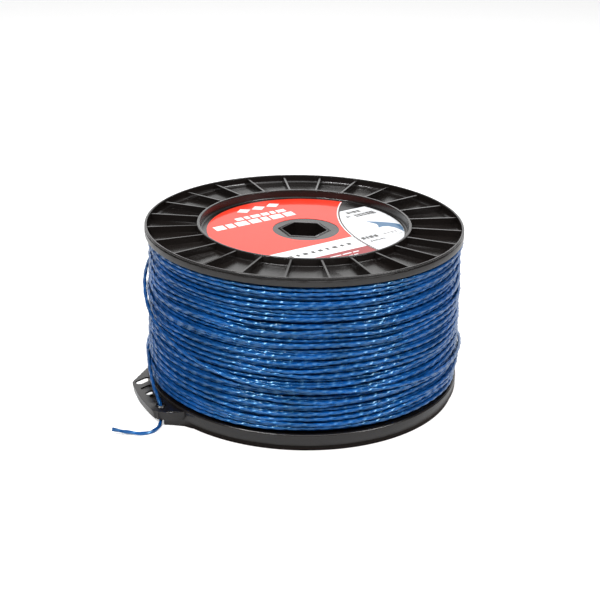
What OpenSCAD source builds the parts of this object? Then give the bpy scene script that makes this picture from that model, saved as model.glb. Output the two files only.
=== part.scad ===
// Flanged plastic spool wound with twisted string-trimmer line.
// Frame: origin on the spool's axis, in the plane that the lower flange rests on; +Z runs up the axis.
// The line tab points towards -X -Y. All sizes are in millimetres and degrees.

/* [Spool] */
// Outer radius of both flanges
flange_r = 100; // [99:0.5:103]
// Height of the whole spool
spool_h = 109; // [105:1:120]
// Outer radius of the barrel that the line is wound on
barrel_r = 67.4; // [66.5:0.1:68]
// Wall of the barrel
barrel_wall = 2.4; // [2:0.1:3]

/* [Flanges] */
// Height of the lower flange, from the ground to its upper face
lower_h = 10; // [9:0.5:12]
// Height of the upper flange, from its lower face to its lip
upper_h = 5.6; // [5:0.1:7]
// Thickness of the upper flange's web
upper_web = 1.2; // [1:0.1:1.6]
// How far the web's lower face lies below the rim's lower edge
web_sink = 1; // [0:0.1:1.2]
// Thickness of the lower flange's web
lower_web = 1.6; // [1.2:0.1:2]
// Thickness of the floor inside each flange's ring
floor_t = 2; // [1.6:0.1:2.4]
// Number of ribs round each flange
rib_count = 24; // [12:1:36]
// Thickness of one rib
rib_t = 1.2; // [0.8:0.1:1.6]
// Angle of the first rib
rib_turn = 8.7; // [0:0.1:15]

/* [Hub] */
// Width across the flats of the hexagonal hub bore
hex_af = 25; // [20:0.5:26]
// Wall of the hub tube
hub_wall = 2; // [1.6:0.1:2.4]
// Angle of the hexagon's first corner
hex_turn = -4; // [-30:1:30]
// How far the hub tube stands out of each floor
hub_proud = 0.2; // [0.2:0.1:1]

/* [Line tab] */
// Depth of the wall under the tab's edge, with the web
tab_depth = 5.3; // [4:0.1:6]
// Thickness of the tab's web
tab_web = 1; // [0.8:0.1:2]
// Radius of the line hole
hole_r = 2.2; // [1.8:0.1:2.4]
// Width of the three smaller line slots
slot_w = 3.8; // [3:0.1:4]
// Width of the longest line slot
long_slot_w = 5.4; // [4:0.1:6]

/* [Labels] */
// Radius of the round label
label_r = 62.2; // [60:0.1:63]
// Radius of the label's centre hole
label_hole_r = 21; // [18:0.5:24]
// Thickness of a label
label_t = 0.2; // [0.1:0.05:0.4]
// Gap between the two labels
label_gap = 1; // [0.5:0.1:2]

/* [Line] */
// Diameter of the line
line_d = 2.4; // [2:0.1:2.7]
// Radius over the wound pack at its top, where it is slimmest
pack_r = 98; // [94:0.2:98.4]
// Number of turns in the outer layer
pack_turns = 36; // [30:1:38]

/* [Hidden] */
$fn = 128;
eps = 0.01;
black = "#1d1b1c";
line_blue = "#1b5aa8";
fit_gap = 0.1;                              // clearance between pieces that plug together

upper_z = spool_h - upper_h;                // lower edge of the upper flange's rim
web_z = upper_z - web_sink;                 // lower face of the upper flange's web
upper_floor_z = spool_h - 6;                // upper face of the floor inside the upper ring
lower_floor_z = 6;                          // upper face of the floor inside the lower ring
barrel_in = barrel_r - barrel_wall;         // inner radius of the barrel
barrel_top = upper_floor_z - floor_t;       // the barrel stands between the two floors
spigot_r = barrel_in - fit_gap;             // outer radius of the spigots inside the barrel
spigot_t = 2;
spigot_h = 6.6;
socket_t = 1.8;                             // wall of the lower flange's ring round the barrel
ring_in = barrel_r - 1.8;                   // inner radius of the visible ring
skirt_t = 3.2;                              // wall of the lower flange's skirt
lower_r = flange_r + 0.7;                   // the lower flange is a little wider than the upper one
lower_lip = 1.1;                            // height of the lip round the lower flange's edge
foot_in = 1.2;                              // how far the foot band is set in from the skirt
foot_h = 3.8;
foot_draft = 0.3;                           // how far the foot band leans in towards the ground
rib_top_z = spool_h - 1.1;                  // top of the upper ribs
rib_bottom_z = 1.6;                         // bottom of the lower ribs
hub_collar_r = 20;                          // round collar of the hub tube behind each floor
hub_collar_t = 2;

tab_c = [17, 0.5];                          // centre of the tab's outer arc
tab_arc_r = 128.6;
tab_from = 195.1;                           // the arc's ends, seen from tab_c
tab_to = 215.4;
tab_back_corner = [-104.5, -33];          // centres of the roundings at the tab's two corners
tab_front_corner = [-85.2, -70.5];
tab_corner_r = 2.4;
tab_draft = 0.9;                            // how far the wall's outside leans in towards its lower edge
tab_wall = 1.6;
tab_z = lower_h - tab_depth;
hole_xy = [-85.6, -64.4];
slots = [[-100.3, -30.7, 11.8, 50, long_slot_w], [-96.9, -40, 9, 49, slot_w],
    [-93.8, -47.1, 7.4, 51, slot_w], [-91.6, -51.9, 5, 53, slot_w]];
blind_slots = [1, 3];                       // the slots that have a gusset behind them

label_xy = [1, 0];
label_cut_xy = [132, 31];                   // centre of the arc that parts the two labels
label_cut_r = 110;
label_turn = 36;                            // the data label's straight edge is turned by this
label_edge_v = 15.7;                        // how far that edge lies from the axis

// How far the pack's outside stands out past pack_r: [height, extra radius]
pack_bulge = [[10, 0.4], [16, 1.2], [24, 1.4], [40, 1.4], [58, 1.3], [75, 0.9], [90, 0.3], [103, 0]];

// The last turn, wound steeply over the pack: [angle, height, radius of its centre]
loose_route = [[0, 100.6, 96.1], [30, 100.4, 96.6], [60, 99, 97.8], [90, 96.2, 98.6], [115, 92.6, 98.9],
    [140, 88.5, 99.2], [155, 84.5, 99.4], [170, 79, 99.7], [180, 75, 100], [189, 70, 100.2],
    [198, 61, 100.4], [206, 57, 100.5], [213, 54.4, 100.5], [220, 51.5, 100.6], [234, 47, 100.6],
    [245, 43.6, 100.4], [256, 41.5, 100.6], [275, 39.6, 100.7], [310, 36, 100.7], [350, 32, 100.7],
    [390, 29.6, 100.7], [430, 28.2, 100.7], [470, 27, 100.7], [510, 26, 100.6], [535, 25.6, 100.4],
    [550, 25.2, 100]];
loose_step = 9;                             // degrees between two rings of the swept tube

// The free end: off the pack, down through the tab's hole, and out along the ground to its cut end
tail_route = [[-98.5, -17.4, 25.2], [-97.7, -22, 24.4], [-96.6, -28, 22.9], [-95.6, -33.5, 21.4],
    [-94.4, -39, 19.9], [-93, -44.5, 18.4], [-91.5, -50, 16.8], [-89.8, -54.8, 15.2],
    [-88.1, -58.9, 13.7], [-86.9, -61.8, 12.3], [-86.1, -63.3, 10.9], [-85.7, -64.2, 9.3],
    [-85.4, -65.2, 7.4], [-85.2, -66.7, 5.4], [-85, -69, 3.5], [-85, -71.6, 2.1],
    [-85.4, -74.8, 1.4], [-86.6, -78.2, 1.2], [-88.5, -81.2, 1.2], [-91.4, -83.4, 1.2],
    [-95.6, -84.6, 1.4], [-101, -84.6, 1.9], [-107.1, -84.7, 2.9], [-112.5, -84.9, 4.1]];

// Points of an arc round c, from angle a0 to angle a1, in n steps.
function arc(c, r, a0, a1, n = 6) =
    [for (i = [0 : n]) let (a = a0 + (a1 - a0) * i / n) c + r * [cos(a), sin(a)]];
function unit(v) = v / norm(v);
// Value of a table of [x, ...] rows at x, by straight lines between its rows; k is the column.
function along(rows, x, k, i = 0) =
    i >= len(rows) - 2 || x <= rows[i + 1][0]
        ? rows[i][k] + (rows[i + 1][k] - rows[i][k]) * (x - rows[i][0]) / (rows[i + 1][0] - rows[i][0])
        : along(rows, x, k, i + 1);

// A round tube swept along points. across is a direction that no stretch of the route runs along.
module swept(points, r, across, sides = 8) {
    n = len(points);
    rings = [for (i = [0 : n - 1])
        let (t = unit(points[min(i + 1, n - 1)] - points[max(i - 1, 0)]),
             u = unit(cross(t, across)), v = cross(t, u))
        for (k = [0 : sides - 1])
            points[i] + r * (cos(360 * k / sides) * u + sin(360 * k / sides) * v)];
    walls = [for (i = [0 : n - 2], k = [0 : sides - 1], half = [0, 1]) let (m = (k + 1) % sides)
        half == 0 ? [i * sides + k, i * sides + m, (i + 1) * sides + m]
                  : [i * sides + k, (i + 1) * sides + m, (i + 1) * sides + k]];
    ends = [[for (k = [sides - 1 : -1 : 0]) k], [for (k = [0 : sides - 1]) (n - 1) * sides + k]];
    polyhedron(rings, concat(ends, walls), convexity = 8);
}

module hexagon(af, z0, z1)
    translate([0, 0, z0]) rotate(hex_turn) cylinder(h = z1 - z0, d = af / cos(30), $fn = 6);

module ribs(r0, r1, z0, z1)
    for (i = [0 : rib_count - 1])
        rotate(rib_turn + i * 360 / rib_count)
            translate([r0, -rib_t / 2, z0]) cube([r1 - r0, rib_t, z1 - z0]);

// Rim, web, ring and floor in one section; the barrel plugs over the spigot under the floor.
module upper_flange_section() {
    lip_r = flange_r - 0.1;
    polygon(concat(
        [[0, barrel_top], [spigot_r - spigot_t, barrel_top], [spigot_r - spigot_t, barrel_top - spigot_h],
         [spigot_r - 0.6, barrel_top - spigot_h], [spigot_r, barrel_top - spigot_h + 1],
         [spigot_r, barrel_top], [barrel_r, barrel_top], [barrel_r, web_z],
         [flange_r - 3.4, web_z], [flange_r - 1.8, upper_z]],
        arc([flange_r - 0.6, upper_z + 0.6], 0.6, -90, 0, 4),
        [[flange_r, spool_h - 1.9], [flange_r - 0.7, spool_h - 1.5], [flange_r - 0.7, spool_h - 1.2]],
        arc([lip_r - 0.5, spool_h - 0.5], 0.5, -20, 90, 5),
        arc([lip_r - 1.1, spool_h - 0.4], 0.4, 90, 180, 4),
        arc([flange_r - 4, web_z + upper_web + 2.2], 2.2, 0, -90, 5),
        arc([barrel_r + 1.2, web_z + upper_web + 0.8], 0.8, -90, -180, 4),
        arc([barrel_r - 0.5, spool_h - 1.1], 0.5, 0, 90, 4),
        arc([ring_in + 0.5, spool_h - 1.1], 0.5, 90, 180, 4),
        arc([ring_in - 1.3, upper_floor_z + 1], 1, 0, -90, 5),
        [[0, upper_floor_z]]));
}

module upper_flange()
    color(black) difference() {
        union() {
            rotate_extrude() upper_flange_section();
            ribs(barrel_r - 0.5, flange_r - 2, web_z + upper_web / 2, rib_top_z);
        }
        hexagon(hex_af + 2 * hub_wall + 2 * fit_gap, barrel_top - 1, spool_h);
    }

// Skirt with its lip and foot band, web, ring and floor in one section; the barrel stands in the ring.
module lower_flange_section() {
    socket_out = barrel_r + fit_gap + socket_t;
    foot_r = lower_r - foot_in;
    skirt_in = lower_r - skirt_t;
    lip_z = lower_h + lower_lip;
    polygon(concat(
        [[0, lower_floor_z - floor_t]],
        arc([ring_in - 1, lower_floor_z - floor_t - 1], 1, 90, 0, 4),
        arc([ring_in + 0.5, 1.1], 0.5, 180, 270, 4),
        arc([socket_out - 0.5, 1.1], 0.5, 270, 360, 4),
        [[socket_out, lower_h - lower_web]],
        arc([skirt_in - 1.2, lower_h - lower_web - 1.2], 1.2, 90, 0, 4),
        arc([skirt_in + 0.3, 0.3], 0.3, 180, 270, 3),
        arc([foot_r - foot_draft - 0.4, 0.4], 0.4, 270, 350, 4),
        [[foot_r, foot_h - 0.2], [lower_r, foot_h + 0.3]],
        arc([lower_r - 1, lip_z - 1], 1, 0, 90, 6),
        [[lower_r - 1.3, lip_z], [lower_r - 1.8, lower_h],
         [barrel_r + fit_gap, lower_h], [barrel_r + fit_gap, lower_floor_z], [spigot_r, lower_floor_z],
         [spigot_r, lower_floor_z + spigot_h - 1],
         [spigot_r - 0.6, lower_floor_z + spigot_h], [spigot_r - spigot_t, lower_floor_z + spigot_h],
         [spigot_r - spigot_t, lower_floor_z], [0, lower_floor_z]]));
}

// Outline of the tab, set in by inset. Its inner side is hidden inside the flange.
module tab_outline(inset = 0) {
    r = tab_arc_r - inset;
    back = [-100.4, -12.5];
    front = [-70, -71.8];
    corner_r = tab_corner_r - inset;
    polygon(concat(
        [back + inset * [0, -1.5]],
        arc(tab_back_corner, corner_r, 163.5, tab_from, 4),
        arc(tab_c, r, tab_from + 0.6, tab_to - 1.4, 10),
        arc(tab_front_corner, corner_r, 210, 285, 5),
        [[-78.5, -74.5 + inset], [-74.5, -73.6 + inset], front + inset * [0, 1.5],
         [-62, -70], [-80, -40], [-95, -14]]));
}

// The tab's solid block, whose outer side leans in towards its lower edge.
module tab_block()
    intersection() {
        linear_extrude(tab_depth) tab_outline();
        translate([tab_c[0], tab_c[1], 0])
            cylinder(h = tab_depth, r1 = tab_arc_r - tab_draft, r2 = tab_arc_r);
    }

module slot(x, y, length, turn, width, z0, z1)
    translate([x, y, z0]) rotate(turn) {
        translate([-(length - width) / 2, -width / 2, 0]) cube([length - width, width, z1 - z0]);
        for (s = [-1, 1]) translate([s * (length - width) / 2, 0, 0]) cylinder(h = z1 - z0, d = width);
    }

// The ear that stores the line's end: a web with a wall round its edge, four slots and a line hole.
module tab() {
    boss_h = 0.9;
    difference() {
        union() {
            difference() {
                translate([0, 0, tab_z]) tab_block();
                translate([0, 0, tab_z - eps]) linear_extrude(tab_depth - tab_web) tab_outline(tab_wall);
                // the back edge has no wall
                translate([-112, -31, tab_z - eps]) cube([14, 22, tab_depth - tab_web]);
            }
            tab_foot();
            for (i = blind_slots) tab_gusset(slots[i]);
            translate([hole_xy[0], hole_xy[1], lower_h - eps]) cylinder(h = boss_h, r1 = hole_r + 1.3,
                r2 = hole_r + 0.8);
        }
        for (s = slots) slot(s[0], s[1], s[2], s[3], s[4], lower_h - tab_web - 1, lower_h + 1);
        translate([hole_xy[0], hole_xy[1], lower_h - tab_web - 1])
            cylinder(h = tab_web + boss_h + 2, r = hole_r);
        translate([hole_xy[0], hole_xy[1], lower_h - 0.2])
            cylinder(h = boss_h + 0.2 + eps, r1 = hole_r, r2 = hole_r + 0.5);
        cylinder(h = lower_h - lower_web, r = lower_r - skirt_t / 2);
        cylinder(h = lower_h + 2, r = flange_r - 5);
    }
}

// Plate between the tab's wall and the skirt, low down behind a slot.
module tab_gusset(slot)
    intersection() {
        translate([0, 0, tab_z]) linear_extrude(1.6) tab_outline(tab_wall / 2);
        translate([slot[0] - 1, slot[1] + 5.6, tab_z]) rotate(28)
            translate([-10, -3, 0]) cube([20, 6.4, 1.6]);
    }

// The leg under the tab's front edge, which the flange's foot band runs out into.
module tab_foot()
    linear_extrude(tab_z + 1)
        polygon([[-83.2, -69.2], [-82.6, -70.6], [-76, -71.2], [-70.5, -72], [-66.5, -74.2], [-62, -76],
                 [-64, -70], [-78, -62], [-82, -66]]);

module lower_flange()
    color(black) difference() {
        union() {
            rotate_extrude() lower_flange_section();
            ribs(barrel_r + 1, flange_r - 1.2, rib_bottom_z, lower_h - lower_web / 2);
            tab();
            tab_bead();
        }
        hexagon(hex_af + 2 * hub_wall + 2 * fit_gap, 0, lower_floor_z + 1);
    }

// Raised edge along the top of the tab's front, in two stretches.
module tab_bead()
    for (p = [[[-80.6, -73.4, lower_h], [-76, -72.7, lower_h]],
              [[-76.3, -72.8, lower_h - 0.02], [-71.6, -71.2, lower_h - 0.02]]])
        let (d = p[1] - p[0])
            translate(p[0] - [0, 0, 0.13]) rotate(atan2(d[1], d[0])) rotate([0, 90, 0])
                cylinder(h = norm(d), r = 0.6);

module barrel_tube()
    color("#2b2728") difference() {
        translate([0, 0, lower_floor_z]) cylinder(h = barrel_top - lower_floor_z, r = barrel_r);
        translate([0, 0, lower_floor_z - 1]) cylinder(h = barrel_top - lower_floor_z + 2, r = barrel_in);
        start_hole(line_d / 2 + 0.3);
    }

// Hexagonal tube through the middle, held between the floors by its two collars.
module hub_tube()
    color(black) difference() {
        low = lower_floor_z - floor_t - hub_proud;
        high = upper_floor_z + hub_proud;
        union() {
            hexagon(hex_af + 2 * hub_wall, low, high);
            translate([0, 0, lower_floor_z]) cylinder(h = hub_collar_t, r = hub_collar_r);
            translate([0, 0, barrel_top - hub_collar_t]) cylinder(h = hub_collar_t, r = hub_collar_r);
        }
        hexagon(hex_af, low - 1, high + 1);
    }

module label_cut(r)
    translate([label_cut_xy[0], label_cut_xy[1], upper_floor_z - 1]) cylinder(h = 3, r = r);

module main_label()
    color("#e8403c") difference() {
        translate([label_xy[0], label_xy[1], upper_floor_z]) cylinder(h = label_t, r = label_r);
        translate([label_xy[0], label_xy[1], upper_floor_z - 1]) cylinder(h = 3, r = label_hole_r);
        label_cut(label_cut_r);
    }

module data_label()
    color("#f0f0f0") intersection() {
        translate([label_xy[0], label_xy[1], upper_floor_z]) cylinder(h = label_t, r = label_r - 0.2);
        label_cut(label_cut_r - label_gap);
        rotate(label_turn) translate([-label_r, label_edge_v - 2 * label_r, upper_floor_z])
            cube([3 * label_r, 2 * label_r, label_t]);
    }

// The wound line as one solid, with the outer layer's turns as ripples on its outside.
module line_pack() {
    z0 = lower_h + fit_gap;
    pitch = (web_z - fit_gap - z0) / pack_turns;
    r = line_d / 2;
    color(line_blue) rotate_extrude() polygon(concat(
        [[barrel_r + fit_gap, z0]],
        [for (i = [0 : pack_turns - 1])
            let (z = z0 + (i + 0.5) * pitch, out = pack_r + along(pack_bulge, z, 1))
            for (p = arc([out - r, z], r, -75, 75, 4)) p],
        [[barrel_r + fit_gap, z0 + pack_turns * pitch]]));
}

module loose_turn() {
    from = loose_route[0][0];
    to = loose_route[len(loose_route) - 1][0];
    n = round((to - from) / loose_step);
    points = [for (i = [0 : n]) let (a = from + (to - from) * i / n, r = along(loose_route, a, 2))
        [r * cos(a), r * sin(a), along(loose_route, a, 1)]];
    color(line_blue) swept(points, line_d / 2, [0, 0, 1]);
}

module line_tail()
    color(line_blue) swept(tail_route, line_d / 2, [0.6, 0.5, 0.62]);

// The line's first end passes in through a hole in the barrel and is bent up behind its wall.
module start_hole(r)
    rotate(rib_turn) translate([barrel_in - 6, 0, 24]) rotate([0, 90, 0])
        cylinder(h = barrel_wall + 6 + fit_gap, r = r);

module line_start() {
    r = line_d / 2;
    color(line_blue) union() {
        start_hole(r);
        rotate(rib_turn) translate([barrel_in - 6, 0, 24]) {
            sphere(r = r);
            cylinder(h = 18, r = r);
        }
    }
}

upper_flange();
lower_flange();
barrel_tube();
hub_tube();
main_label();
data_label();
line_pack();
loose_turn();
line_tail();
line_start();
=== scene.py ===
"""A spool of twisted trimmer line: looks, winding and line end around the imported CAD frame.

Lengths are in metres.
"""

import math

import bmesh
import bpy
import numpy as np
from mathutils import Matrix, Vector


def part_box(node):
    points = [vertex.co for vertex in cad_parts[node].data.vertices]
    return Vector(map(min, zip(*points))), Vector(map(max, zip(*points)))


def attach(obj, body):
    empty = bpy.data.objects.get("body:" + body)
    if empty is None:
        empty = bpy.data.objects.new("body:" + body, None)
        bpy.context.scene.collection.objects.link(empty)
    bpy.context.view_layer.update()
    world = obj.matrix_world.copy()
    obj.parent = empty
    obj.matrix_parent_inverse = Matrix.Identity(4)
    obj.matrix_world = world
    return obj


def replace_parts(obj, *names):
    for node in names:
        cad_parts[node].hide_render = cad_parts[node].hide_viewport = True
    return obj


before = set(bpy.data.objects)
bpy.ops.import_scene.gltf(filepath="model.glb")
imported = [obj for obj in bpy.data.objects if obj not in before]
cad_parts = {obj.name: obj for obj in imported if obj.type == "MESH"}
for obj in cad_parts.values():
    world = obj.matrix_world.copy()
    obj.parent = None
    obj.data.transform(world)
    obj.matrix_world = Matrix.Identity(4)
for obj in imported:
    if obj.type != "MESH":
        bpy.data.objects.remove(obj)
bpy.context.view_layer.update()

MM = 0.001
LINE_D = 2.4 * MM
TWIST_PITCH = 36 * MM  # length of line in which its square section turns once round
RINGS_PER_TURN = 240
WORLD_DIM, WORLD_BEHIND = 0.16, 1.5  # strength of the surroundings as a light
rng = np.random.default_rng(7)


# ---------------------------------------------------------------- camera
def make_camera():
    """The viewpoint: a long lens in front of the spool, 22 degrees above the horizon."""
    elevation, distance, roll = math.radians(22.43), 0.7911, math.radians(1.136)
    aim = (-0.0018, 0.0, 0.0548)
    focal_length, sensor = 73.602, 36  # in millimetres
    data = bpy.data.cameras.new("camera")
    data.lens, data.sensor_width = focal_length, sensor
    data.clip_start, data.clip_end = 0.01, 50
    camera = bpy.data.objects.new("camera", data)
    bpy.context.scene.collection.objects.link(camera)
    camera.location = (
        aim[0],
        aim[1] - distance * math.cos(elevation),
        aim[2] + distance * math.sin(elevation),
    )
    camera.rotation_mode = "ZXY"
    camera.rotation_euler = (math.pi / 2 - elevation, 0, roll)
    bpy.context.scene.camera = camera


# ---------------------------------------------------------------- meshes
def mesh_object(name, points, faces, material, smooth=True):
    mesh = bpy.data.meshes.new(name)
    mesh.from_pydata([tuple(p) for p in points], [], faces)
    mesh.validate()
    mesh.update()
    if smooth:
        mesh.polygons.foreach_set("use_smooth", [True] * len(mesh.polygons))
    mesh.materials.append(material)
    made = bpy.data.objects.new(name, mesh)
    bpy.context.scene.collection.objects.link(made)
    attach(made, "root")
    return made


def unit(v):
    return v / np.linalg.norm(v, axis=-1, keepdims=True)


def twisted_square():
    """Angles and radii of the line's section: a square with flat sides and blunted corners."""
    half_flat, corner = math.radians(28.4), LINE_D / 2
    middle, shoulder = 0.76 * corner, 0.87 * corner
    radii = {0.0: middle, half_flat: shoulder, math.pi / 4: corner, math.pi / 2 - half_flat: shoulder}
    angles = [a + quarter * math.pi / 2 for quarter in range(4) for a in sorted(radii)]
    return np.array(angles), np.array([radii[a] for a in sorted(radii)] * 4)


def arc_lengths(line):
    steps = np.linalg.norm(np.diff(line, axis=0), axis=1)
    return np.concatenate([[0.0], np.cumsum(steps)])


def carried_frames(line):
    """Tangent and two normals at each point, carried along the line without turning about it."""
    t = unit(np.gradient(line, axis=0))
    u = np.cross(t[0], (0, 0, 1.0))
    us = [u / np.linalg.norm(u)]
    for k in range(1, len(line)):
        u = us[-1] - t[k] * np.dot(us[-1], t[k])
        us.append(u / np.linalg.norm(u))
    u = np.array(us)
    return t, u, np.cross(t, u)


def radial_frames(line):
    """Tangent, outward normal and the third axis, for a line that runs round the spool."""
    t = unit(np.gradient(line, axis=0))
    u = unit(np.cross(t, np.broadcast_to((0, 0, 1.0), t.shape)))
    return t, u, np.cross(t, u)


def twisted_line(name, line, frames, start_length, material, ends=(True, True)):
    """The twisted line swept along points; start_length keeps its twist running on between pieces."""
    angle, radius = twisted_square()
    t, u, v = frames
    twist = 2 * math.pi * (start_length + arc_lengths(line)) / TWIST_PITCH
    a = angle[None, :] + twist[:, None]
    points = line[:, None, :] + radius[None, :, None] * (
        np.cos(a)[..., None] * u[:, None, :] + np.sin(a)[..., None] * v[:, None, :]
    )
    n, m = len(line), len(angle)
    i, k = np.meshgrid(np.arange(n - 1), np.arange(m), indexing="ij")
    j = (k + 1) % m
    faces = np.stack([i * m + k, i * m + j, (i + 1) * m + j, (i + 1) * m + k], -1)
    faces = [tuple(map(int, f)) for f in faces.reshape(-1, 4)]
    if ends[0]:
        faces.append(tuple(range(m))[::-1])
    if ends[1]:
        faces.append(tuple(range((n - 1) * m, n * m)))
    return mesh_object(name, points.reshape(-1, 3), faces, material)


def smooth_route(points, step, samples=24):
    """A Catmull-Rom curve through points, resampled at about step."""
    p = np.array(points, float)
    p = np.vstack([2 * p[0] - p[1], p, 2 * p[-1] - p[-2]])
    fine = []
    for k in range(1, len(p) - 2):
        for s in np.linspace(0, 1, samples, endpoint=False):
            a, b, c, d = p[k - 1 : k + 3]
            fine.append(
                0.5
                * (
                    2 * b
                    + (c - a) * s
                    + (2 * a - 5 * b + 4 * c - d) * s**2
                    + (3 * b - a - 3 * c + d) * s**3
                )
            )
    fine.append(p[-2])
    fine = np.array(fine)
    s = arc_lengths(fine)
    at = np.linspace(0, s[-1], max(8, int(round(s[-1] / step))))
    return np.stack([np.interp(at, s, fine[:, k]) for k in range(3)], -1)


# ---------------------------------------------------------------- materials
def node_material(name, color, roughness, ior=1.5, coat=0.0, coat_roughness=0.1):
    material = bpy.data.materials.new(name)
    material.use_nodes = True
    shader = material.node_tree.nodes["Principled BSDF"]
    shader.inputs["Base Color"].default_value = (*color, 1)
    shader.inputs["Roughness"].default_value = roughness
    shader.inputs["IOR"].default_value = ior
    shader.inputs["Coat Weight"].default_value = coat
    shader.inputs["Coat Roughness"].default_value = coat_roughness
    return material, material.node_tree, shader


def add(tree, kind, **settings):
    node = tree.nodes.new(kind)
    for key, value in settings.items():
        setattr(node, key, value)
    return node


def noise(tree, scale, detail=3.0):
    place = add(tree, "ShaderNodeTexCoord")
    texture = add(tree, "ShaderNodeTexNoise")
    texture.inputs["Scale"].default_value = scale
    texture.inputs["Detail"].default_value = detail
    tree.links.new(place.outputs["Object"], texture.inputs["Vector"])
    return texture.outputs["Fac"]


def mapped(tree, value, low, high, to_low, to_high):
    node = add(tree, "ShaderNodeMapRange")
    for key, number in (
        ("From Min", low),
        ("From Max", high),
        ("To Min", to_low),
        ("To Max", to_high),
    ):
        node.inputs[key].default_value = number
    tree.links.new(value, node.inputs["Value"])
    return node.outputs["Result"]


def mixed(tree, factor, first, second):
    node = add(tree, "ShaderNodeMix", data_type="RGBA")
    tree.links.new(factor, node.inputs["Factor"])
    for key, value in (("A", first), ("B", second)):
        socket = [s for s in node.inputs if s.name == key and s.type == "RGBA"][0]
        if isinstance(value, tuple):
            socket.default_value = (*value, 1)
        else:
            tree.links.new(value, socket)
    return [s for s in node.outputs if s.type == "RGBA"][0]


def bump(tree, shader, height, strength, distance):
    node = add(tree, "ShaderNodeBump")
    node.inputs["Strength"].default_value = strength
    node.inputs["Distance"].default_value = distance
    tree.links.new(height, node.inputs["Height"])
    tree.links.new(node.outputs["Normal"], shader.inputs["Normal"])


def moulded_plastic(name, color=(0.0056, 0.0043, 0.0038), roughness=0.23):
    """Black moulded plastic: fine grain, faint flow marks, uneven gloss and a few specks of dust."""
    material, tree, shader = node_material(name, color, roughness)
    flow = mapped(tree, noise(tree, 26, 4), 0.35, 0.75, 0, 1)
    worn = tuple(c * 1.5 for c in color)
    shade = mixed(tree, flow, color, worn)
    specks = mapped(tree, noise(tree, 900, 1), 0.83, 0.86, 0, 0.5)
    tree.links.new(mixed(tree, specks, shade, (0.3, 0.29, 0.28)), shader.inputs["Base Color"])
    tree.links.new(
        mapped(tree, noise(tree, 40, 3), 0.3, 0.7, roughness - 0.03, roughness + 0.04),
        shader.inputs["Roughness"],
    )
    bump(tree, shader, noise(tree, 1500, 2), 0.06, 0.03 * MM)
    return material


def line_material(name, color=(0.001, 0.048, 0.198)):
    """Glossy blue nylon: light spreads blue inside its skin and glints white on its flats."""
    material, tree, shader = node_material(name, color, 0.3, ior=1.53, coat=0.38, coat_roughness=0.09)
    shader.inputs["Specular IOR Level"].default_value = 0.9
    shader.inputs["Specular Tint"].default_value = (0.2, 0.66, 1, 1)
    uneven = noise(tree, 55, 3)
    darker = tuple(c * 0.7 for c in color)
    lighter = tuple(c * 1.25 + 0.001 for c in color)
    tree.links.new(
        mixed(tree, mapped(tree, uneven, 0.3, 0.7, 0, 1), darker, lighter),
        shader.inputs["Base Color"],
    )
    bump(tree, shader, noise(tree, 2600, 2), 0.08, 0.03 * MM)
    return material


def label_material(name, color):
    """Laminated paper: printed colour under a glossy film with faint ripples."""
    material, tree, shader = node_material(name, color, 0.55, coat=0.55, coat_roughness=0.06)
    shader.inputs["Specular IOR Level"].default_value = 0.15
    ripple = noise(tree, 60, 2)
    darker = tuple(c * 0.93 for c in color)
    tree.links.new(
        mixed(tree, mapped(tree, ripple, 0.35, 0.65, 0, 1), darker, color),
        shader.inputs["Base Color"],
    )
    bump(tree, shader, noise(tree, 90, 2), 0.05, 0.3 * MM)
    return material


# ---------------------------------------------------------------- moulded pieces
def refined_shell(node, material, edge=0.22 * MM):
    """The CAD piece's own shape, with its sharp edges eased so that they catch the light."""
    shape = bmesh.new()
    shape.from_mesh(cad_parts[node].data)
    bmesh.ops.remove_doubles(shape, verts=shape.verts, dist=0.002 * MM)
    bmesh.ops.dissolve_limit(
        shape, angle_limit=math.radians(0.5), verts=shape.verts, edges=shape.edges
    )
    mesh = bpy.data.meshes.new(node + "_shell")
    shape.to_mesh(mesh)
    shape.free()
    mesh.polygons.foreach_set("use_smooth", [True] * len(mesh.polygons))
    mesh.set_sharp_from_angle(angle=math.radians(35))
    mesh.materials.append(material)
    made = bpy.data.objects.new(node + "_shell", mesh)
    bpy.context.scene.collection.objects.link(made)
    eased = made.modifiers.new("eased_edges", "BEVEL")
    eased.width, eased.segments = edge, 2
    eased.limit_method, eased.angle_limit = "ANGLE", math.radians(50)
    eased.harden_normals = True
    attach(made, "root")
    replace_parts(made, node)


# ---------------------------------------------------------------- print on the labels
PRINT_TURN = math.radians(36)  # the print runs along u, which is turned this far from X
PRINT_THICKNESS = 0.03 * MM
LABEL_CENTRE = (0.8, -0.6)  # in millimetres along u and across v, as are all sizes of the print
LABEL_R = 62.0
CUT_CENTRE = (125.0, -52.5)  # centre of the arc that parts the two labels
CUT_R = 110.0


def printed(label, ink, outlines, material, lift=0.0):
    """Flat ink shapes lying on a label, from outlines in millimetres along u and v."""
    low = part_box("main_label")[1].z - 0.005 * MM
    c, d = math.cos(PRINT_TURN), math.sin(PRINT_TURN)
    points, faces = [], []
    for outline in outlines:
        area = sum(
            a[0] * b[1] - b[0] * a[1] for a, b in zip(outline, outline[1:] + outline[:1])
        )
        ring = outline if area > 0 else outline[::-1]
        base, n = len(points), len(ring)
        for z in (low, low + PRINT_THICKNESS):
            points += [((u * c - v * d) * MM, (u * d + v * c) * MM, z) for u, v in ring]
        faces.append([base + k for k in range(n)][::-1])
        faces.append([base + n + k for k in range(n)])
        for k in range(n):
            m = (k + 1) % n
            faces.append([base + k, base + m, base + n + m, base + n + k])
    made = mesh_object(f"{label}_print_{ink}", points, faces, material, smooth=False)
    made.location.z = lift


def bar(u, v, width, height, lean=0.0):
    return [(u, v), (u + width, v), (u + width + lean, v + height), (u + lean, v + height)]


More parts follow.
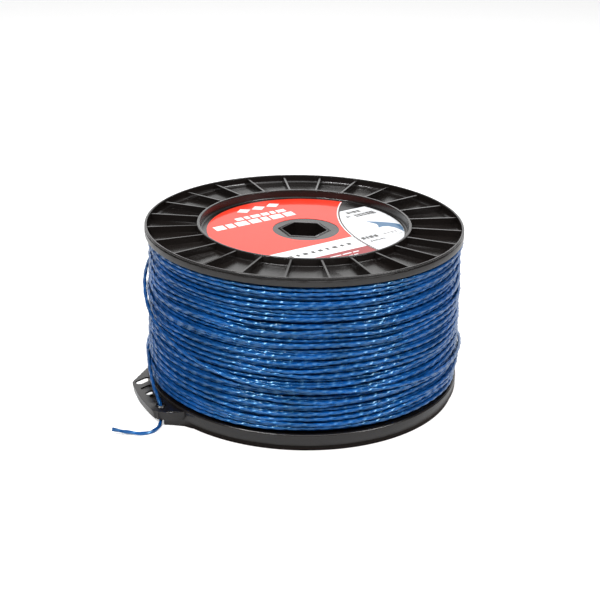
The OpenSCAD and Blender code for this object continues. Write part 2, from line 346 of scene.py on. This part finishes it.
def bars(u0, u1, v, height, widths, gap, lean=0.0):
    """A row of bars of the given widths, over and over, from u0 to u1: it stands for a line of print."""
    row, u, k = [], u0, 0
    while u + widths[k % len(widths)] <= u1:
        width = widths[k % len(widths)]
        row.append(bar(u, v, width, height, lean))
        u, k = u + width + gap, k + 1
    return row


def band(v0, v1, inset=0.3, steps=14):
    """The part of the main label between two heights v, up to its round and its concave side."""
    left, right = [], []
    for k in range(steps + 1):
        v = v0 + (v1 - v0) * k / steps
        half = math.sqrt(max((LABEL_R - inset) ** 2 - (v - LABEL_CENTRE[1]) ** 2, 0))
        cut = CUT_CENTRE[0] - math.sqrt((CUT_R + inset) ** 2 - (v - CUT_CENTRE[1]) ** 2)
        left.append((LABEL_CENTRE[0] - half, v))
        right.append((min(LABEL_CENTRE[0] + half, cut), v))
    return right + left[::-1]


def edge_stroke(r0, r1):
    """A thin stroke along the main label's concave side."""
    inner, outer = [], []
    for degree in np.arange(120, 215, 1.5):
        a = math.radians(degree)
        points = [(CUT_CENTRE[0] + r * math.cos(a), CUT_CENTRE[1] + r * math.sin(a)) for r in (r0, r1)]
        if all(math.dist(point, LABEL_CENTRE) < LABEL_R - 0.2 for point in points):
            inner.append(points[0])
            outer.append(points[1])
    return inner + outer[::-1]


def diamond(u, v, size):
    return [(u - size, v), (u, v - size * 0.8), (u + size, v), (u, v + size * 0.8)]


def print_main_label(white, dark_red, grey):
    on_ink = PRINT_THICKNESS * 0.6  # height of print that lies on other print
    shapes = [edge_stroke(110.05, 110.8), band(-45.4, -27.5)]
    shapes += [diamond(u, 50.6, 5.2) for u in (-12.5, -1, 10.5)]
    shapes += bars(-27, 13, 35.6, 4.8, (5.4, 3.4, 6.6), 1.5, lean=0.6)
    shapes += bars(-48, 15, 26.2, 7.2, (7.4, 5.2, 8.8), 1.7, lean=0.9)
    printed("main_label", "white", shapes, white)
    printed("main_label", "dark_red", [band(-61.6, -45.4)], dark_red)
    small = bars(-38, 13, -38.8, 3.3, (3, 2.1, 3.4, 2.4), 2.7)
    printed("main_label", "grey", small, grey, on_ink)
    fine = bars(-30, 12, -50.6, 1.1, (6.5, 4.2, 8), 1.2) + bars(-18, 6, -54.2, 0.8, (5, 3), 1)
    printed("main_label", "fine", fine, white, on_ink)


def print_data_label(grey, blue, faint):
    rows = bars(41.5, 54, 8.4, 3.8, (2.4, 1.6, 2.8), 0.5)
    rows += bars(43, 61, 0.6, 5.4, (1.4, 0.8, 1.8, 0.9), 0.45)
    rows += bars(36.6, 41.5, 2.6, 3, (1.6, 1), 0.5)
    rows += bars(19, 33, -36.2, 4.2, (2.8, 2, 3.2), 0.6, lean=0.4)
    rows += bars(21, 34, -41.6, 1.9, (1.8, 1.2), 0.5)
    printed("data_label", "grey", rows, grey)
    pale = bars(36.5, 49, -35.6, 3.2, (2.2, 1.6), 1, lean=0.3)
    pale += bars(42, 49, -39, 1.4, (1.2, 0.8), 0.6)
    printed("data_label", "faint", pale, faint)
    swoosh = [(42, -8.8), (49, -14), (55, -20.5), (57.2, -25.5), (55, -30.5), (50.6, -37.6)]
    swoosh += [(50.6, -33), (50.4, -28.5), (48.6, -24.4), (45, -22.6), (41.3, -23.3)]
    swoosh += [(43.6, -20), (44.7, -16.7)]
    printed("data_label", "blue", [swoosh], blue)


def make_print():
    """Plain blocks and shapes where the labels carry their print; none of it is lettering."""
    white = label_material("ink_white", (0.82, 0.83, 0.84))
    dark_red = label_material("ink_dark_red", (0.30, 0.012, 0.016))
    grey = label_material("ink_grey", (0.05, 0.047, 0.045))
    blue = label_material("ink_blue", (0.05, 0.14, 0.26))
    faint = label_material("ink_faint", (0.34, 0.34, 0.34))
    print_main_label(white, dark_red, grey)
    print_data_label(grey, blue, faint)


# ---------------------------------------------------------------- the line's free end
# The route of the CAD tail, in millimetres, from where it leaves the pack to its cut end.
TAIL_ROUTE = [
    (-98.5, -17.4, 25.2),
    (-97.7, -22, 24.4),
    (-96.6, -28, 22.9),
    (-95.6, -33.5, 21.4),
    (-94.4, -39, 19.9),
    (-93, -44.5, 18.4),
    (-91.5, -50, 16.8),
    (-89.8, -54.8, 15.2),
    (-88.1, -58.9, 13.7),
    (-86.9, -61.8, 12.3),
    (-86.1, -63.3, 10.9),
    (-85.7, -64.2, 9.3),
    (-85.4, -65.2, 7.4),
    (-85.2, -66.7, 5.4),
    (-85, -69, 3.5),
    (-85, -71.6, 2.1),
    (-85.4, -74.8, 1.4),
    (-86.6, -78.2, 1.2),
    (-88.5, -81.2, 1.2),
    (-91.4, -83.4, 1.2),
    (-95.6, -84.6, 1.4),
    (-101, -84.6, 1.9),
    (-107.1, -84.7, 2.9),
    (-112.5, -84.9, 4.1),
]


def make_tail(material, start_length):
    line = smooth_route(np.array(TAIL_ROUTE) * MM, 0.8 * MM)
    tail = twisted_line("line_end", line, carried_frames(line), start_length, material)
    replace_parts(tail, "line_tail")


# ---------------------------------------------------------------- the winding
PACK_LOW, PACK_HIGH = 10.1 * MM, 102.3 * MM
UNDER_TURNS = 35  # turns of the layer below the outermost one
OUTER_GAP_LOW, OUTER_GAP_HIGH = 3.0 * MM, 5.4 * MM  # spacing of the outermost turns, low and high up
FIRST_TURN, SECOND_TURN = 1.8 * MM, 3.4 * MM  # heights of the two lowest outer turns over the pack's foot
TOP_SPACE = 2.4 * MM  # no outer turn starts closer than this to the pack's top
CONTACT = 2.1 * MM  # distance between two turns that touch
LEAN = 0.6 * MM  # how far the pack stands out more on its +X side


def under_radius(z):
    """Radius of the under layer's turns at height z: the pack bulges towards its lower half."""
    knots_z = np.array([10, 16, 24, 40, 58, 75, 90, 103]) * MM
    knots_r = np.array([95.8, 96.7, 96.7, 96.6, 96.4, 95.9, 95.5, 95.3]) * MM
    return np.interp(z, knots_z, knots_r)


def wobble(turns, amplitude, own_share=0.6):
    """Smooth sideways wander of each turn: waves that neighbours share, and some of each turn's own."""
    shared_drift, own_drift = 0.5, 2.2  # how much a wave's phase changes from turn to turn
    share = np.arange(RINGS_PER_TURN)[None, :] / RINGS_PER_TURN
    out = np.zeros((turns, RINGS_PER_TURN))
    for wave in (1, 2, 3, 5, 8):
        size = amplitude / wave**0.7
        for part, drift in ((1 - own_share, shared_drift), (own_share, own_drift)):
            phase = np.cumsum(rng.normal(0, drift, turns + 1)) + rng.uniform(0, 2 * math.pi)
            swing = rng.uniform(0.3, 1.7, turns + 1) if part == own_share else np.ones(turns + 1)
            phase = phase[:-1, None] + np.diff(phase)[:, None] * share
            swing = swing[:-1, None] + np.diff(swing)[:, None] * share
            out += part * size * swing * np.sin(wave * 2 * math.pi * share + phase)
    return out


def turn_heights(centres, amplitude):
    """Heights of a layer's turns at each angle: each turn climbs steadily to the next one's start."""
    share = np.arange(RINGS_PER_TURN) / RINGS_PER_TURN
    following = np.append(centres[1:], 2 * centres[-1] - centres[-2])
    z = centres[:, None] + (following - centres)[:, None] * share[None, :]
    z = z + wobble(len(centres), amplitude)
    return np.clip(z, PACK_LOW + LINE_D / 2, PACK_HIGH - LINE_D / 2)


def smoothed(rows, width):
    """Rows run on from one to the next, smoothed over width rings."""
    flat = rows.ravel()
    kernel = np.hanning(width + 2)[1:-1]
    padded = np.concatenate([flat[: width // 2][::-1], flat, flat[-(width // 2) :][::-1]])
    return np.convolve(padded, kernel / kernel.sum(), mode="valid")[: flat.size].reshape(rows.shape)


def resting_radius(z, lower_z, lower_r, contact):
    """Radius at which turns at heights z lie on the turns below them, at each angle."""
    dz = z[:, None, :] - lower_z[None, :, :]
    lift = np.sqrt(np.clip(contact**2 - dz**2, 0, None))
    touching = np.where(np.abs(dz) < contact, lower_r[None, :, :] + lift, 0)
    return touching.max(axis=1)


def outer_centres():
    """Starting heights of the outermost turns, closer together towards the bottom."""
    heights, z = [PACK_LOW + FIRST_TURN], PACK_LOW + SECOND_TURN
    while z < PACK_HIGH - TOP_SPACE:
        heights.append(z)
        share = (z - PACK_LOW) / (PACK_HIGH - PACK_LOW)
        gap = OUTER_GAP_LOW + (OUTER_GAP_HIGH - OUTER_GAP_LOW) * share**0.8
        z += gap * rng.uniform(0.6, 1.4)
    return np.array(heights)


def spool_line(z, r):
    """Points of a layer, turn after turn, from its heights and radii."""
    theta = np.arange(z.size) * 2 * math.pi / RINGS_PER_TURN
    r = r.ravel()
    return np.stack([r * np.cos(theta), r * np.sin(theta), z.ravel()], -1)


def make_layer(name, line, material, turns_per_piece=22):
    """A layer in pieces of a few turns each, its twist running on between them; gives its length."""
    size = turns_per_piece * RINGS_PER_TURN
    frames = radial_frames(line)
    lengths = arc_lengths(line)
    for k, start in enumerate(range(0, len(line) - 1, size)):
        part = slice(start, min(start + size + 1, len(line)))
        twisted_line(
            f"{name}_{k + 1}",
            line[part],
            [f[part] for f in frames],
            lengths[start],
            material,
            ends=(start == 0, part.stop == len(line)),
        )
    return lengths[-1]


def make_core(material, segments=120):
    """The inner layers as one ring, with ripples where its outermost turns lie."""
    inner_r = 67.6 * MM
    sunk, ripple = 2.5 * MM, 1.2 * MM  # ripples bulge out from a radius sunk below the turns' centres
    pitch = (PACK_HIGH - PACK_LOW) / UNDER_TURNS
    profile = [(inner_r, PACK_LOW)]
    for k in range(UNDER_TURNS):
        middle = PACK_LOW + (k + 0.5) * pitch
        base_r = under_radius(middle) - sunk
        for a in np.radians((-70, -35, 0, 35, 70)):
            profile.append((base_r + ripple * math.cos(a), middle + pitch / 2 * math.sin(a)))
    profile.append((inner_r, PACK_HIGH))
    profile = np.array(profile)
    theta = np.arange(segments) * 2 * math.pi / segments
    points = np.stack(
        [
            profile[None, :, 0] * np.cos(theta)[:, None],
            profile[None, :, 0] * np.sin(theta)[:, None],
            np.broadcast_to(profile[None, :, 1], (segments, len(profile))),
        ],
        -1,
    ).reshape(-1, 3)
    m = len(profile)
    faces = []
    for i in range(segments):
        here, following = i * m, (i + 1) % segments * m
        for k in range(m):
            j = (k + 1) % m
            faces.append((here + k, following + k, following + j, here + j))
    return mesh_object("winding_inner_layers", points, faces, material)


# The CAD's route of the last turn, wound steeply over the pack: angle in degrees, height and radius
# in millimetres. The turn made here rests on the pack instead, so only the last radius is used.
LOOSE_ROUTE = [
    (0, 100.6, 96.1),
    (30, 100.4, 96.6),
    (60, 99, 97.8),
    (90, 96.2, 98.6),
    (115, 92.6, 98.9),
    (140, 88.5, 99.2),
    (155, 84.5, 99.4),
    (170, 79, 99.7),
    (180, 75, 100),
    (189, 70, 100.2),
    (198, 61, 100.4),
    (206, 57, 100.5),
    (213, 54.4, 100.5),
    (220, 51.5, 100.6),
    (234, 47, 100.6),
    (245, 43.6, 100.4),
    (256, 41.5, 100.6),
    (275, 39.6, 100.7),
    (310, 36, 100.7),
    (350, 32, 100.7),
    (390, 29.6, 100.7),
    (430, 28.2, 100.7),
    (470, 27, 100.7),
    (510, 26, 100.6),
    (535, 25.6, 100.4),
    (550, 25.2, 100),
]


def eased(x):
    """0 up to x = 0, 1 from x = 1 on, and a smooth step between them."""
    x = np.clip(x, 0, 1)
    return x**2 * (3 - 2 * x)


def widest_near(r, reach):
    """At each ring, the largest radius within reach rings of it."""
    held = np.pad(r, reach, mode="edge")
    return np.max([held[k : k + len(r)] for k in range(2 * reach + 1)], axis=0)


def make_loose_turn(material, start_length, outer_z, outer_r):
    """The last turn, drawn tight over the pack, from the outermost layer's end to the free end."""
    leaving, joining = 30, 40  # degrees over which it leaves the layer and joins the free end
    height_window, reach, radius_window = 15, 7, 25  # in rings
    contact = CONTACT + 0.3 * MM
    table = np.array(LOOSE_ROUTE, float)
    degrees = np.arange(0, table[-1, 0] + 0.01, 360 / RINGS_PER_TURN)
    ring = np.arange(len(degrees)) % RINGS_PER_TURN
    z = smoothed(np.interp(degrees, table[:, 0], table[:, 1])[None, :] * MM, height_window)[0]
    r = resting_radius(z[None, :], outer_z[:, ring], outer_r[:, ring], contact)[0]
    r = smoothed(widest_near(r, reach)[None, :], radius_window)[0]
    off = eased(degrees / leaving)
    z = outer_z[-1, -1] + (z - outer_z[-1, -1]) * off
    r = outer_r[-1, -1] + (r - outer_r[-1, -1]) * off
    r = r + (table[-1, 2] * MM - r) * eased((degrees - table[-1, 0] + joining) / joining)
    theta = np.radians(degrees)
    line = np.stack([r * np.cos(theta), r * np.sin(theta), z], -1)
    line[-1] = np.array(TAIL_ROUTE[0]) * MM
    turn = twisted_line("last_turn", line, radial_frames(line), start_length, material)
    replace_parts(turn, "loose_turn")
    return start_length + arc_lengths(line)[-1]


def make_winding(material):
    """The core and the two outermost layers; gives the outer one's length, heights and radii."""
    under_wander, outer_wander = 0.6 * MM, 1.9 * MM  # how far turns stray up and down
    unevenness, most_bulge = 0.5 * MM, 3 * MM
    under_window, outer_window = 61, 13  # rings that the radii are smoothed over
    pitch = (PACK_HIGH - PACK_LOW - LINE_D) / (UNDER_TURNS - 1)
    centres = PACK_LOW + LINE_D / 2 + pitch * np.arange(UNDER_TURNS)
    under_z = turn_heights(centres, under_wander)
    turn_angle = np.linspace(0, 2 * math.pi, RINGS_PER_TURN, endpoint=False)
    lean = LEAN * np.cos(turn_angle)
    under_r = under_radius(under_z) + lean
    under_r += smoothed(rng.normal(0, unevenness, under_z.shape), under_window)
    outer_z = turn_heights(outer_centres(), outer_wander)
    outer_r = resting_radius(outer_z, under_z, under_r, CONTACT)
    for k in range(1, len(outer_z)):  # a turn that meets the one before it climbs on it
        over = resting_radius(outer_z[k : k + 1], outer_z[k - 1 : k], outer_r[k - 1 : k], CONTACT)
        outer_r[k] = np.maximum(outer_r[k], over[0])
    most_r = under_radius(outer_z) + lean + most_bulge
    outer_r = smoothed(np.minimum(outer_r, most_r), outer_window)
    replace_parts(make_core(material), "line_pack")
    make_layer("winding_under", spool_line(under_z, under_r), material)
    length = make_layer("winding_outer", spool_line(outer_z, outer_r), material)
    return length, outer_z, outer_r


# ---------------------------------------------------------------- stage and light
def seen_by_camera(tree):
    return add(tree, "ShaderNodeLightPath").outputs["Is Camera Ray"]


def make_floor():
    """A white floor with painted shade in its colour close round the spool, which the spool's foot shows
    in reflection; a glow for the camera alone keeps it white to the eye.
    """
    material, tree, shader = node_material("stage_white", (0.9, 0.9, 0.9), 0.9)
    radius = add(tree, "ShaderNodeVectorMath", operation="LENGTH")
    tree.links.new(add(tree, "ShaderNodeTexCoord").outputs["Object"], radius.inputs[0])
    dim_to, bright_from = 102 * MM, 105.5 * MM
    painted_shade = mapped(tree, radius.outputs["Value"], dim_to, bright_from, 1, 0)
    # Painted shade: the floor's colour goes nearly black just outside the spool's rim; the camera-only
    # glow below is raised there to hide it.
    tree.links.new(
        mixed(tree, painted_shade, (0.75, 0.75, 0.75), (0.12, 0.1, 0.09)), shader.inputs["Base Color"]
    )
    shader.inputs["Emission Color"].default_value = (1, 1, 1, 1)
    glow = mapped(tree, painted_shade, 0, 1, 0.5, 0.95)
    for_camera = add(tree, "ShaderNodeMath", operation="MULTIPLY")
    tree.links.new(glow, for_camera.inputs[0])
    tree.links.new(seen_by_camera(tree), for_camera.inputs[1])
    tree.links.new(for_camera.outputs["Value"], shader.inputs["Emission Strength"])
    mesh = bpy.data.meshes.new("floor")
    reach = 6.0
    corners = [(-reach, -reach, 0), (reach, -reach, 0), (reach, reach, 0), (-reach, reach, 0)]
    mesh.from_pydata(corners, [], [(0, 1, 2, 3)])
    mesh.materials.append(material)
    floor = bpy.data.objects.new("floor", mesh)
    bpy.context.scene.collection.objects.link(floor)


def area_light(name, azimuth, elevation, distance, size, power):
    """A softbox aimed at the spool's middle."""
    data = bpy.data.lights.new(name, "AREA")
    data.shape, data.size, data.size_y = "RECTANGLE", size[0], size[1]
    data.energy = power
    lamp = bpy.data.objects.new(name, data)
    bpy.context.scene.collection.objects.link(lamp)
    a, e = math.radians(azimuth), math.radians(elevation)
    away = Vector((math.cos(a) * math.cos(e), math.sin(a) * math.cos(e), math.sin(e)))
    lamp.location = Vector((0, 0, 0.06)) + away * distance
    lamp.rotation_euler = away.to_track_quat("Z", "Y").to_euler()


def make_world():
    """White where the camera sees it; as a light, bright low down behind the spool and dim elsewhere."""
    world = bpy.data.worlds.new("world")
    bpy.context.scene.world = world
    world.use_nodes = True
    tree = world.node_tree
    background = tree.nodes["Background"]
    background.inputs["Color"].default_value = (1, 1, 1, 1)
    apart = add(tree, "ShaderNodeSeparateXYZ")
    tree.links.new(add(tree, "ShaderNodeTexCoord").outputs["Generated"], apart.inputs["Vector"])
    behind = mapped(tree, apart.outputs["Y"], 0.55, 0.88, 0, 1)
    low = mapped(tree, apart.outputs["Z"], 0.45, 0.75, 1, 0)
    both = add(tree, "ShaderNodeMath", operation="MULTIPLY")
    tree.links.new(behind, both.inputs[0])
    tree.links.new(low, both.inputs[1])
    glow = mapped(tree, both.outputs["Value"], 0, 1, WORLD_DIM, WORLD_BEHIND)
    seen = add(tree, "ShaderNodeMix", data_type="FLOAT")
    tree.links.new(seen_by_camera(tree), seen.inputs["Factor"])
    tree.links.new(glow, seen.inputs["A"])
    seen.inputs["B"].default_value = 1.05
    tree.links.new(seen.outputs["Result"], background.inputs["Strength"])


# Each softbox: name, azimuth and elevation in degrees, distance, width and height, power in watts.
SOFTBOXES = [
    ("key", -127, 46, 1.5, (0.75, 0.14), 20),
    ("right", -30, 38, 1.5, (0.5, 0.28), 12),
    ("front", -60, 58, 1.8, (1.5, 1.2), 14.5),
    ("top", 90, 65, 1.6, (1.6, 0.9), 6),
]


def make_light():
    make_world()
    for softbox in SOFTBOXES:
        area_light(*softbox)
    bpy.context.scene.view_settings.view_transform = "Standard"


# ---------------------------------------------------------------- build
make_camera()
blue = line_material("blue_nylon")
wound, outer_z, outer_r = make_winding(blue)
wound = make_loose_turn(blue, wound, outer_z, outer_r)
make_tail(blue, wound)

black = moulded_plastic("black_plastic")
for node in ("upper_flange", "lower_flange", "hub_tube"):
    refined_shell(node, black)

red = label_material("label_red", (0.80, 0.035, 0.012))
white = label_material("label_white", (0.78, 0.8, 0.82))
barrel_grey = moulded_plastic("barrel_grey", (0.02, 0.019, 0.018), 0.4)
finishes = {"main_label": red, "data_label": white, "line_start": blue, "barrel_tube": barrel_grey}
for node, material in finishes.items():
    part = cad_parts[node]
    part.data.materials.clear()
    part.data.materials.append(material)
make_print()

make_floor()
make_light()
